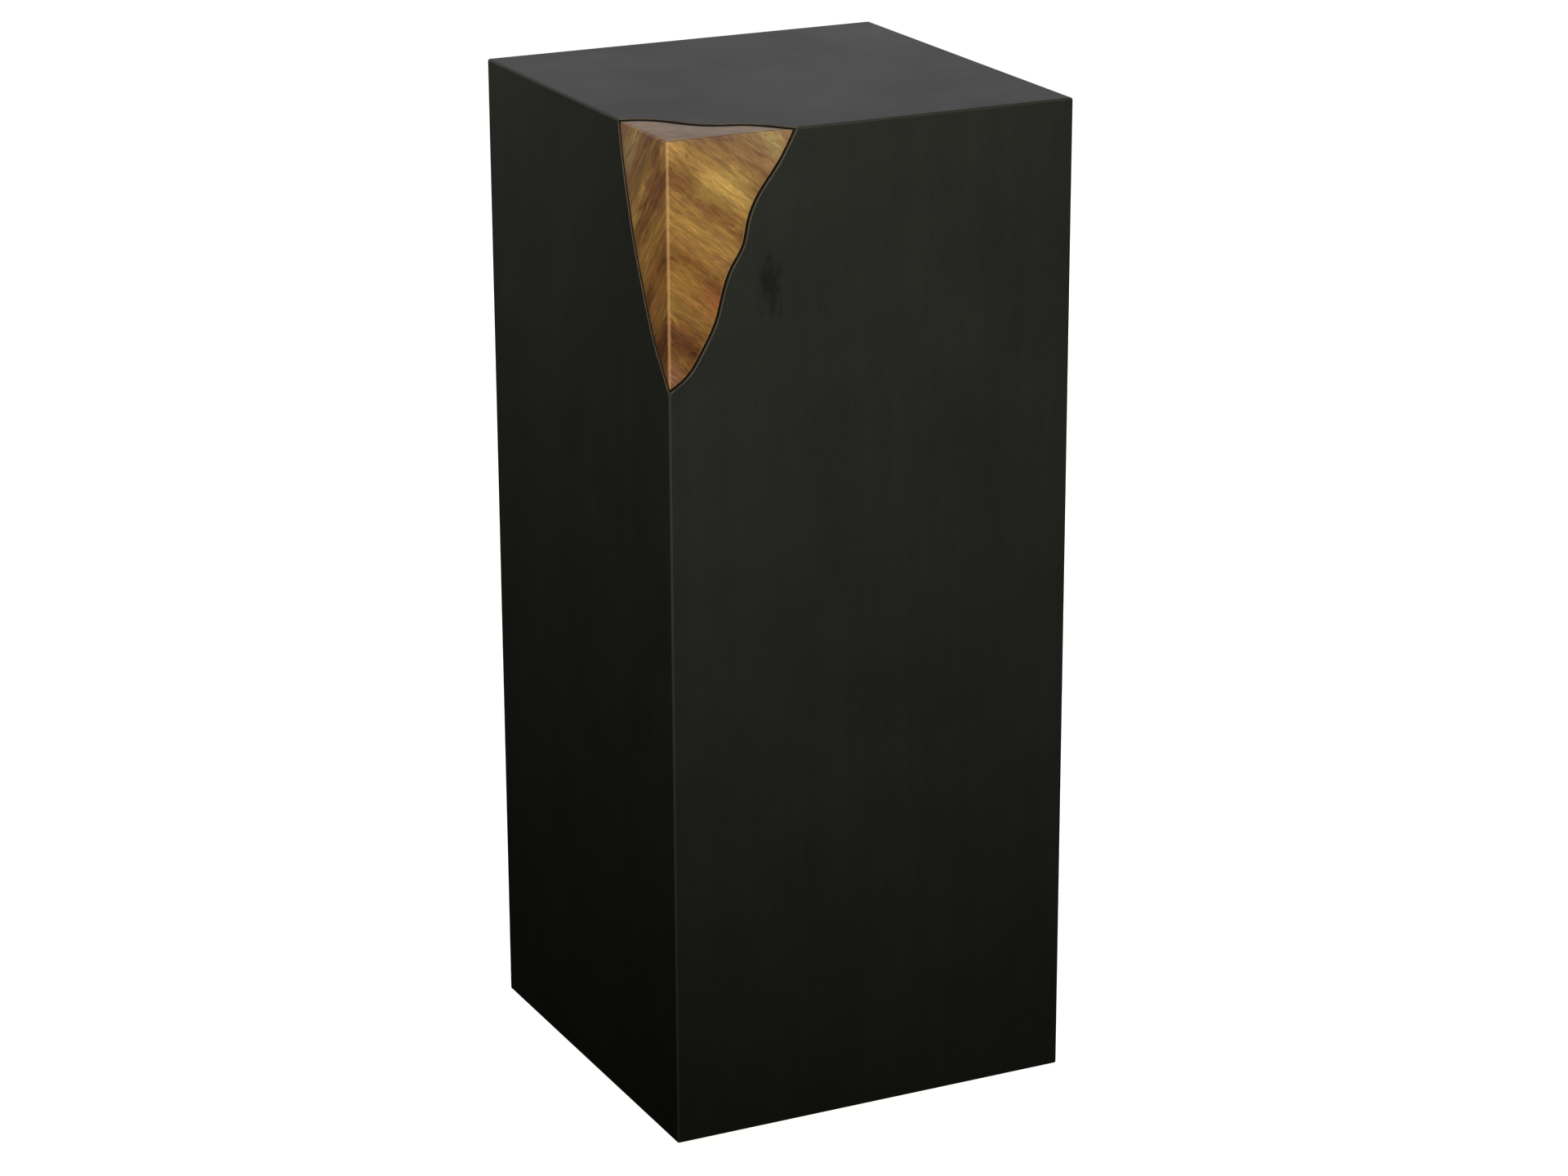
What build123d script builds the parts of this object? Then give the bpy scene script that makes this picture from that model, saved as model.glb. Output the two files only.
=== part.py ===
"""Display plinth: a tall mitred box of black-stained boards with a wood block let into one top corner.

Millimetres, +Z up. The origin is on the floor under the middle of the plinth. The front faces -Y, and the
wood block fills the corner at -X, -Y and the top.
"""

import math
import os

from build123d import *

# ---- casing
width = 340.0  # along X
depth = 340.0  # along Y
casing_height = 800.0
board = 20.0  # thickness of the five casing boards
arris = 2.0  # rounding of the casing's outer edges
base_arris = 1.0  # rounding of the casing's lower edges
ground_gap = 3.0  # the feet hold the casing this far off the floor

# ---- wood corner block, measured from the casing's sharp corner
inlay_across = 105.0  # along the front's top edge
inlay_back = 85.0  # along the left side's top edge
inlay_drop = 189.0  # down the front left edge
inlay_gap = 1.4  # width of the shadow line round the block
board_lip = 1.2  # chamfer on the boards' side of the line
block_lip = 0.9  # and on the block's
core_across = 40.0  # how far the block reaches behind its own boards, in the same three directions
core_back = 34.0
core_drop = 110.0

# The hand-cut line on each face, as shares of two of those sizes
front_line = [(1, 0), (0.86, 0.135), (0.695, 0.26), (0.617, 0.37), (0.59, 0.44), (0.5, 0.525)]
front_line += [(0.43, 0.62), (0.365, 0.745), (0.27, 0.845), (0.135, 0.95), (0, 1)]
left_line = [(1, 0), (0.92, 0.155), (0.82, 0.31), (0.7, 0.47), (0.53, 0.635), (0.33, 0.81), (0, 1)]
top_line = [(1, 0), (0.895, 0.17), (0.76, 0.33), (0.495, 0.475), (0.38, 0.625), (0.28, 0.8), (0.16, 0.93)]
top_line += [(0, 1)]

# ---- splines in the mitres
spline_thick = 4.0
spline_width = 16.0
spline_inset = 10.0  # from the inner end of the mitre to the spline's middle
spline_fit = 0.1  # clearance round a spline
spline_end = 42.0  # a spline stops this far from a corner where three boards meet
spline_clear = 20.0  # and this far from the cut line and the floor end

# ---- inner frame
cleat = 24.0  # square section of the cleats and corner battens
base_ply = 18.0
base_recess = 12.0  # the base sits this far up inside the casing
base_fit = 0.5  # clearance round the base
backer_ply = 12.0
backer_margin = 28.0  # how far the backers reach past the cut line
frame_fit = 5.0  # room between the backers and the cleats and batten beside them
core_fit = 1.0  # room round the part of the block that passes between the backers

# ---- screws
screw_radius = 2.0
screw_tip = 4.0
head_radius = 4.0
long_screw = 40.0
mid_screw = 35.0
short_screw = 25.0
screw_fit = 0.05  # the hole each screw has cut, over its own radius
drive_width = 1.0  # the cross in each head
drive_length = 4.6
drive_depth = 1.4
base_screw_places = (-0.23, 0.23)  # shares of the inner width or depth
cleat_screw_places = (-0.34, 0, 0.34)
top_screw_places = (0.2, 0.8)  # shares of each top cleat's length
block_screw_places = (0.3, 0.58)  # shares of the block's drop
wall_backer_places = (0.3, 0.7)
top_backer_places = (0.55, 0.85)  # shares of the block's reach along the left side

# ---- levelling feet
foot_inset = 62.0  # from the casing's outer faces to each foot's axis
foot_radius = 16.0
foot_height = 9.0
foot_chamfer = 2.0
sole_arris = 0.8
stud_radius = 4.0
stud_length = 35.0
stud_chamfer = 1.0
collar_flats = 13.0
head_r = 6.0  # the stud's captive head, inside the foot
head_thick = 2.5
head_floor = 4.2  # thickness of nylon under the head
neck_radius = 4.5
running_fit = 0.1  # round the head and neck
thread_fit = 0.05  # stud in its nut
stop_gap = 0.3  # over and under the collar
nut_flange_radius = 11.0
nut_flange = 1.5
nut_radius = 5.5
nut_length = 13.0

# ---- worked out from the sizes above
half_x = width / 2
half_y = depth / 2
inner_x = half_x - board
inner_y = half_y - board
top = ground_gap + casing_height
inner_top = top - board
base_under = ground_gap + base_recess
base_top = base_under + base_ply
cleat_top = base_top + cleat
overrun = 8.0  # how far a cutting tool runs past the work

CORNERS = {"front_left": (-1, -1), "front_right": (1, -1), "back_left": (-1, 1), "back_right": (1, 1)}
SIDES = {"front": (0, -1), "left": (-1, 0), "back": (0, 1), "right": (1, 0)}

# Planes whose two coordinates run from the sharp corner, along the face and then down or back,
# with the way inwards along each plane's normal and the cut line's points
corner = (-half_x, -half_y, top)
FACES = {
    "front": (Plane(corner, x_dir=(1, 0, 0), z_dir=(0, 1, 0)), 1, front_line, inlay_across, inlay_drop),
    "left": (Plane(corner, x_dir=(0, 1, 0), z_dir=(-1, 0, 0)), -1, left_line, inlay_back, inlay_drop),
    "top": (Plane(corner, x_dir=(1, 0, 0), z_dir=(0, 0, 1)), -1, top_line, inlay_across, inlay_back),
}


def save(shape, name):
    export_step(shape, f"parts/{name}.step")


def block(x, y, z):
    """A box from its low and high X, Y and Z."""
    spans = (x, y, z)
    middle = [(low + high) / 2 for low, high in spans]
    return Pos(*middle) * Box(*[high - low for low, high in spans])


def prism(points, plane, amount):
    """A polygon drawn on a plane and pushed along its normal."""
    return extrude(plane * make_face(Polyline(*points, close=True)), amount)


def turned(profile):
    """A solid of revolution about Z from (radius, height) points."""
    return revolve(Plane.XZ * make_face(Polyline(*profile, close=True)), Axis.Z)


def core_size(face):
    """The core's reach along a face's two directions."""
    along = core_back if face == "left" else core_across
    down = core_back if face == "top" else core_drop
    return along, down


# ---- the cut line
def cut_points(face):
    _, _, line, across, down = FACES[face]
    return [Vector(x * across, y * down) for x, y in line]


def cut_area(face, shift):
    """The area between the sharp corner and the cut line, with the line moved outwards by shift."""
    points = cut_points(face)
    before = points[0] + (points[0] - points[1]).normalized() * overrun
    after = points[-1] + (points[-1] - points[-2]).normalized() * overrun
    points = [before, *points, after]
    last = len(points) - 1
    moved = []
    for i, point in enumerate(points):
        run = (points[min(i + 1, last)] - points[max(i - 1, 0)]).normalized()
        moved.append(point + Vector(-run.Y, run.X) * -shift)
    outside = Vector(-overrun, -overrun)
    return make_face(Curve() + [Spline(*moved), Line(moved[-1], outside), Line(outside, moved[0])])


def cut_form(face, side):
    """What the cut takes out of a board (side 1), or leaves for the block (side -1), lips chamfered."""
    plane, inward, *_ = FACES[face]
    shift, lip, beyond = (inlay_gap / 2, board_lip, overrun) if side > 0 else (-inlay_gap / 2, block_lip, 0)
    seat = plane.offset(inward * lip) * cut_area(face, shift)
    mouth = plane.offset(-inward * lip) * cut_area(face, shift + side * 2 * lip)
    return extrude(seat, inward * (board - lip + beyond)) + loft([mouth, seat], ruled=True)


# ---- the casing's outer form and its boards
def casing_envelope():
    form = block((-half_x, half_x), (-half_y, half_y), (ground_gap, top))
    upper = form.edges().filter_by(Axis.Z) + form.edges().group_by(Axis.Z)[-1]
    form = fillet(upper, arris)
    return fillet(form.edges().group_by(Axis.Z)[0], base_arris)


def wall_form(side):
    """One wall, mitred at both ends and at the top."""
    length, reach = (width, half_y) if SIDES[side][0] == 0 else (depth, half_x)
    end, inner = length / 2, length / 2 - board
    plan = [(-end, -reach), (end, -reach), (inner, board - reach), (-inner, board - reach)]
    section = [(-reach, ground_gap), (-reach, top), (board - reach, inner_top), (board - reach, ground_gap)]
    upright = prism(plan, Plane.XY.offset(ground_gap), casing_height)
    turn = {"front": 0, "right": 90, "back": 180, "left": 270}[side]
    return Rot(0, 0, turn) * (upright & prism(section, Plane.YZ.offset(-end), length))


def top_form():
    """The top, mitred on all four edges."""
    along_y = [(-half_x, top), (half_x, top), (inner_x, inner_top), (-inner_x, inner_top)]
    along_x = [(-half_y, top), (half_y, top), (inner_y, inner_top), (-inner_y, inner_top)]
    first = prism(along_y, Plane.XZ.offset(-half_y), depth)
    return first & prism(along_x, Plane.YZ.offset(-half_x), width)


# ---- mitre splines
def mitre_splines(fit):
    """Every spline by name, grown by fit all round."""
    made = {}
    reach = spline_inset / math.sqrt(2)
    wide, thick = spline_width + 2 * fit, spline_thick + 2 * fit
    for name, (sx, sy) in CORNERS.items():
        low = ground_gap + spline_clear
        high = top - (inlay_drop + spline_clear if name == "front_left" else spline_end)
        bar = Rot(0, 0, -45 * sx * sy) * Box(wide, thick, high - low + 2 * fit)
        made[name] = Pos(sx * (inner_x + reach), sy * (inner_y + reach), (low + high) / 2) * bar
    for name, (sx, sy) in SIDES.items():
        cut = {"front": inlay_across, "left": inlay_back}.get(name)
        begin = spline_end if cut is None else cut + spline_clear
        end = half_x if sx == 0 else half_y
        low, high = begin - end, end - spline_end
        long, middle = high - low + 2 * fit, (low + high) / 2
        if sx == 0:
            bar = Rot(-45 * sy, 0, 0) * Box(long, wide, thick)
            made["top_" + name] = Pos(middle, sy * (inner_y + reach), inner_top + reach) * bar
        else:
            bar = Rot(0, 45 * sx, 0) * Box(wide, long, thick)
            made["top_" + name] = Pos(sx * (inner_x + reach), middle, inner_top + reach) * bar
    return made


# ---- screws
def screw_form(length, grow=0.0):
    """A countersunk wood screw with its head at the origin and its tip towards -Z."""
    shank, head = screw_radius + grow, head_radius + grow
    under_head = screw_radius - head_radius
    outline = [(0, 0), (head, 0), (shank, under_head), (shank, screw_tip - length), (0, -length - grow)]
    return turned(outline)


def wood_screw(length):
    slot = Box(drive_length, drive_width, drive_depth, align=(Align.CENTER, Align.CENTER, Align.MAX))
    return screw_form(length) - slot - Rot(0, 0, 90) * slot


def pointing(place, way):
    """Puts something made towards -Z at a place, towards a way."""
    return Plane(place, z_dir=-Vector(*way)).location


def across_at(points, down):
    """How far across the cut line is, at a distance down or back."""
    for near, far in zip(points, points[1:]):
        if near.Y <= down <= far.Y:
            return near.X + (far.X - near.X) * (down - near.Y) / (far.Y - near.Y)
    return 0.0


def edge_at(across, down_end, down):
    """The same for the straight edge from (across, board) to (board, down_end)."""
    return across + (board - across) * (down - board) / (down_end - board)


def backer_screw_places():
    """Screws through the backers: some into the block's own boards, some into the casing."""
    into_block, into_casing = [], []
    for face, (plane, inward, _, across, down) in FACES.items():
        points = cut_points(face)
        core = [board + size for size in core_size(face)]
        rim = (across + backer_margin, down + backer_margin)
        rows = [(core, block_screw_places, into_block), (rim, wall_backer_places, into_casing)]
        if face == "top":
            rows = [(rim, top_backer_places, into_casing)]
        for edge, shares, places in rows:
            for share in shares:
                drop = share * down
                middle = (across_at(points, drop) + edge_at(*edge, drop)) / 2
                head = plane.offset(inward * (board + backer_ply)).from_local_coords((middle, drop, 0))
                places.append(pointing(head, plane.z_dir * -inward))
    return into_block, into_casing


def base_screw_set():
    """Up through the base into the base cleats."""
    places = []
    for sx, sy in SIDES.values():
        for share in base_screw_places:
            x = sx * (inner_x - cleat / 2) if sx else share * 2 * inner_x
            y = sy * (inner_y - cleat / 2) if sy else share * 2 * inner_y
            places.append(pointing((x, y, base_under), (0, 0, 1)))
    return places


def base_cleat_screw_set():
    """Through the base cleats into the walls."""
    places = []
    for sx, sy in SIDES.values():
        for share in cleat_screw_places:
            x = sx * (inner_x - cleat) if sx else share * 2 * inner_x
            y = sy * (inner_y - cleat) if sy else share * 2 * inner_y
            places.append(pointing((x, y, base_top + cleat / 2), (sx, sy, 0)))
    return places


def top_cleat_spans():
    """Each top cleat's X and Y spans."""
    clear = backer_margin + frame_fit
    begin_x, begin_y = inlay_across + clear - half_x, inlay_back + clear - half_y
    return {
        "front": ((begin_x, inner_x), (-inner_y, cleat - inner_y)),
        "left": ((-inner_x, cleat - inner_x), (begin_y, inner_y - cleat)),
        "back": ((-inner_x, inner_x), (inner_y - cleat, inner_y)),
        "right": ((inner_x - cleat, inner_x), (cleat - inner_y, inner_y - cleat)),
    }


def top_cleat_screw_set():
    """Up through the top cleats into the top."""
    places = []
    for side, (x, y) in top_cleat_spans().items():
        for share in top_screw_places:
            px = x[0] + share * (x[1] - x[0]) if SIDES[side][0] == 0 else (x[0] + x[1]) / 2
            py = y[0] + share * (y[1] - y[0]) if SIDES[side][1] == 0 else (y[0] + y[1]) / 2
            places.append(pointing((px, py, inner_top - cleat), (0, 0, 1)))
    return places


def drill(shape, screws):
    """Cuts the hole of every screw in each (length, places) pair."""
    for length, places in screws:
        hole = screw_form(length, screw_fit)
        for place in places:
            shape = shape - place * hole
    return shape


# ---- block and its backers
def core_form():
    """The corner of the block behind its boards: a tetrahedron with a sloping back."""
    x, y, z = board - half_x, board - half_y, top - board
    form = block((x, x + core_across), (y, y + core_back), (z - core_drop, z))
    across = Vector(x + core_across, y, z)
    back = Vector(x, y + core_back, z)
    below = Vector(x, y, z - core_drop)
    slope = Plane(across, x_dir=back - across, z_dir=(back - across).cross(below - across))
    keep = Keep.TOP if slope.to_local_coords(Vector(x, y, z)).Z > 0 else Keep.BOTTOM
    return split(form, bisect_by=slope, keep=keep)


def backer_form(face):
    """A plywood plate behind a cut, with room for the block's core to pass."""
    plane, inward, _, across, down = FACES[face]
    core_a, core_d = core_size(face)
    outline = [
        (board + core_a + core_fit, board),
        (across + backer_margin, board),
        (board, down + backer_margin),
        (board, board + core_d + core_fit),
    ]
    plate = prism(outline, plane.offset(inward * board), inward * backer_ply)
    high = (inner_top - inlay_drop - backer_margin, inner_top)
    if face != "front":
        plate = plate - block((-inner_x, inner_x), (-inner_y, backer_ply - inner_y), high)
    if face == "top":
        plate = plate - block((-inner_x, backer_ply - inner_x), (-inner_y, inner_y), high)
    return plate


# ---- levelling feet
def insert_nut():
    bore = stud_radius + thread_fit
    outline = [(bore, 0), (nut_flange_radius, 0), (nut_flange_radius, nut_flange), (nut_radius, nut_flange)]
    return Pos(0, 0, base_under) * turned([*outline, (nut_radius, nut_length), (bore, nut_length)])


def nut_seat():
    grow = screw_fit
    flange = Cylinder(nut_flange_radius + grow, nut_flange, align=(Align.CENTER, Align.CENTER, Align.MIN))
    barrel = Cylinder(nut_radius + grow, base_ply, align=(Align.CENTER, Align.CENTER, Align.MIN))
    return Pos(0, 0, base_under) * (flange + barrel)


def foot_form():
    """A nylon foot with a stepped socket that holds the stud's head."""
    cavity, mouth = head_r + running_fit, neck_radius + running_fit
    shoulder = head_floor + head_thick + 2 * running_fit
    outline = [
        (0, 0),
        (foot_radius - sole_arris, 0),
        (foot_radius, sole_arris),
        (foot_radius, foot_height - foot_chamfer),
        (foot_radius - foot_chamfer, foot_height),
        (mouth, foot_height),
        (mouth, shoulder),
        (cavity, shoulder),
        (cavity, head_floor),
        (0, head_floor),
    ]
    return turned(outline)


def stud_form():
    """A threaded stud with a hexagon collar and a round head below it."""
    head_low = head_floor + running_fit
    collar_low, collar_high = foot_height + stop_gap, base_under - stop_gap
    tip = collar_high + stud_length
    outline = [
        (0, head_low),
        (head_r, head_low),
        (head_r, head_low + head_thick),
        (neck_radius, head_low + head_thick),
        (neck_radius, collar_low),
        (stud_radius, collar_low),
        (stud_radius, tip - stud_chamfer),
        (stud_radius - stud_chamfer, tip),
        (0, tip),
    ]
    hexagon = RegularPolygon(collar_flats / 2, 6, major_radius=False)
    return turned(outline) + extrude(Plane.XY.offset(collar_low) * hexagon, collar_high - collar_low)


def main():
    os.makedirs("parts", exist_ok=True)
    envelope = casing_envelope()
    slots = mitre_splines(spline_fit)
    into_block, into_casing = backer_screw_places()
    base_screws = base_screw_set()
    base_cleat_screws = base_cleat_screw_set()
    top_cleat_screws = top_cleat_screw_set()

    # casing boards, and the block's own boards out of the same forms
    block_boards = []
    near = {"front": ("front_left", "front_right"), "back": ("back_left", "back_right")}
    near |= {"left": ("front_left", "back_left"), "right": ("front_right", "back_right")}
    for side in SIDES:
        form = wall_form(side) & envelope
        wall = form
        if side in FACES:
            wall = wall - cut_form(side, 1)
            block_boards.append(form & cut_form(side, -1))
        for name in (*near[side], "top_" + side):
            wall = wall - slots[name]
        save(drill(wall, [(mid_screw, base_cleat_screws), (short_screw, into_casing)]), side + "_wall")
    form = top_form() & envelope
    lid = form - cut_form("top", 1)
    block_boards.append(form & cut_form("top", -1))
    for side in SIDES:
        lid = lid - slots["top_" + side]
    save(drill(lid, [(mid_screw, top_cleat_screws), (short_screw, into_casing)]), "top_panel")
    corner_block = core_form()
    for leaf in block_boards:
        corner_block = corner_block + leaf
    save(drill(corner_block, [(short_screw, into_block)]), "corner_block")
    for name, spline in mitre_splines(0.0).items():
        save(spline, "mitre_spline_" + name)

    # backers
    for face in FACES:
        save(drill(backer_form(face), [(short_screw, into_block + into_casing)]), face + "_backer")

    # base, cleats and battens
    base_x, base_y = inner_x - base_fit, inner_y - base_fit
    base = block((-base_x, base_x), (-base_y, base_y), (base_under, base_top))
    foot_x, foot_y = half_x - foot_inset, half_y - foot_inset
    feet = {name: Pos(sx * foot_x, sy * foot_y, 0) for name, (sx, sy) in CORNERS.items()}
    for place in feet.values():
        base = base - place * nut_seat()
    save(drill(base, [(long_screw, base_screws)]), "base_panel")
    for side, (sx, sy) in SIDES.items():
        ends_x = (-inner_x, inner_x) if sx == 0 else sorted((sx * inner_x, sx * (inner_x - cleat)))
        ends_y = (cleat - inner_y, inner_y - cleat) if sx else sorted((sy * inner_y, sy * (inner_y - cleat)))
        low = block(ends_x, ends_y, (base_top, cleat_top))
        save(drill(low, [(long_screw, base_screws), (mid_screw, base_cleat_screws)]), f"base_cleat_{side}")
        high = block(*top_cleat_spans()[side], (inner_top - cleat, inner_top))
        save(drill(high, [(mid_screw, top_cleat_screws)]), f"top_cleat_{side}")
    for name, (sx, sy) in CORNERS.items():
        end = inner_top - cleat
        if name == "front_left":
            end = top - inlay_drop - backer_margin - frame_fit
        x, y = sorted((sx * inner_x, sx * (inner_x - cleat))), sorted((sy * inner_y, sy * (inner_y - cleat)))
        save(block(x, y, (cleat_top, end)), f"corner_batten_{name}")

    # fasteners, one node for each kind of screw and its row
    rows = {
        "base_screws": (long_screw, base_screws),
        "base_cleat_screws": (mid_screw, base_cleat_screws),
        "top_cleat_screws": (mid_screw, top_cleat_screws),
        "backer_screws": (short_screw, into_casing),
        "block_screws": (short_screw, into_block),
    }
    for name, (length, places) in rows.items():
        save(Compound([place * wood_screw(length) for place in places]), name)
    save(Compound([place * insert_nut() for place in feet.values()]), "insert_nuts")

    # feet
    for name, place in feet.items():
        save(place * foot_form(), f"foot_{name}")
        save(place * stud_form(), f"foot_stud_{name}")


main()
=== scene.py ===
import math

import bpy
import numpy as np
from mathutils import Matrix, Vector


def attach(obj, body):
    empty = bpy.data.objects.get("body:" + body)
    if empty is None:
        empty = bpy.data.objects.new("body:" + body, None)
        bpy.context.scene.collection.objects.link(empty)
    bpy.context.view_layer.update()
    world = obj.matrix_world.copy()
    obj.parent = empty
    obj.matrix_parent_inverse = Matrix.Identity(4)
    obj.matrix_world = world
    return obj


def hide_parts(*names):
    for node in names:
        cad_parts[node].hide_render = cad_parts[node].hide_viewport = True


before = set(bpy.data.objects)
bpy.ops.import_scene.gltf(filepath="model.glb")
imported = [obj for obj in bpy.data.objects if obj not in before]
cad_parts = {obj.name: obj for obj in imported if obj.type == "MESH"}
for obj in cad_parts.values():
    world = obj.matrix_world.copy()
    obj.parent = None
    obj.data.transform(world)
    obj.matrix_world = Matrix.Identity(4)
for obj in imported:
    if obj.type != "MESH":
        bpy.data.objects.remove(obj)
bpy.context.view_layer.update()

mm = 0.001
print("frame loaded:", len(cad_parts), "CAD nodes")


# small helpers for colours and shader nodes
def hexColour(text, strength=1.0):
    # sRGB hex to linear light: each channel is divided by 12.92 near black, else follows the 2.4 power curve
    channels = [int(text[i:i + 2], 16) / 255 for i in (0, 2, 4)]
    linear = [c / 12.92 if c <= 0.04045 else ((c + 0.055) / 1.055) ** 2.4 for c in channels]
    return (*[c * strength for c in linear], 1.0)


def addNode(tree, kind, settings=None, links=None):
    # one node: settings are its properties, and links feed its inputs, each from a node's first live output,
    # from an output socket, or with a fixed value
    node = tree.nodes.new("ShaderNode" + kind)
    for name, value in (settings or {}).items():
        setattr(node, name, value)
    for key, source in (links or {}).items():
        if isinstance(source, bpy.types.Node):
            source = next(output for output in source.outputs if output.enabled)
        if isinstance(source, bpy.types.NodeSocket):
            tree.links.new(source, node.inputs[key])
        else:
            node.inputs[key].default_value = source
    return node


def newMaterial(name):
    # an empty material with its tree, and the piece's own place in millimetres
    material = bpy.data.materials.new(name)
    material.use_nodes = True
    tree = material.node_tree
    tree.nodes.clear()
    place = addNode(tree, "TexCoord")
    place = addNode(tree, "Mapping", None, {"Vector": place.outputs["Object"], "Scale": (1 / mm,) * 3})
    return material, tree, place


def fillRamp(node, stops):
    # puts (position, colour) pairs on a colour ramp
    ramp = node.color_ramp
    while len(ramp.elements) > 1:
        ramp.elements.remove(ramp.elements[-1])
    ramp.elements[0].position, ramp.elements[0].color = stops[0]
    for position, colour in stops[1:]:
        ramp.elements.new(position).color = colour


def grainScale(grain, width, length):
    # a pattern's repeats per millimetre on each axis: long on the grain's own axis and narrow on the others
    return tuple(1 / (length if axis == grain else width) for axis in "XYZ")


noiseSpread = {"From Min": 0.3, "From Max": 0.7}  # nearly all of a noise's values lie between these
mixColour = {"data_type": "RGBA"}
multiplyColour = {"data_type": "RGBA", "blend_type": "MULTIPLY"}
mixBy, mixFrom, mixTo = 0, 6, 7  # a colour Mix node's inputs: the share of the second colour, the first, the second


# black-stained boards under a thin matt lacquer: nearly black, a little warm, with fine pores along the
# grain that catch the light and cloudy stain. Rounded edges are painted a shade paler, a painted highlight,
# and edges square to the face and the cut round the block are coloured dark. Sizes are in
# millimetres, and a pair is the size across the grain and along it
stain = {
    # the paler colours for rounded edges and for the cut's lip are painted highlights, the second tinted like
    # unstained wood
    "colour": "252722", "edgeHighlight": "37342c", "lipHighlight": "5a4f3b", "darkEdge": "130f09",
    "faceAt": {"X": 170, "Y": 170, "Z": 803},  # how far out the boards' faces are
    # the pale line along the cut is a painted highlight
    "line": 0.5, "lineBlur": 0.1,  # how deep the pale line along the cut goes
    "cloud": 70, "clouds": 0.07, "cloudNoise": {"Detail": 3.0, "Roughness": 0.6},
    "streak": (11, 180), "streaks": 0.07, "streakDepth": 0.4, "streakBump": 0.12,
    "streakNoise": {"Detail": 6.0, "Roughness": 0.62, "Distortion": 0.35},
    "pore": (0.45, 7), "pores": 0.6, "poreDepth": 0.05, "poreBump": 0.5,
    "poreFrom": {"From Min": 0.6, "From Max": 0.72},
    "knot": (-86, -170, 684), "knotSize": (9, 9, 22), "knotDark": 0.58, "knotRagged": 2.2,
    "knotNoise": {"Scale": 1.3, "Detail": 5.0, "Roughness": 0.65}, "knotEdge": {"From Min": 0.4, "From Max": 1.2},
    "highlightPatches": {"From Min": 0.35, "From Max": 0.6, "To Min": 0.5},
    # how the normal tells the surfaces apart: off the face, square to it, and leaning on all three axes
    "offFace": {"From Min": 0.92, "From Max": 0.98, "To Min": 1.0, "To Max": 0.0},
    "square": {"From Min": 0.58, "From Max": 0.68, "To Min": 1.0, "To Max": 0.0},
    "curved": {"From Min": 0.03, "From Max": 0.07},
    "roughness": (0.53, 0.59), "ior": 1.24,
}


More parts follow.
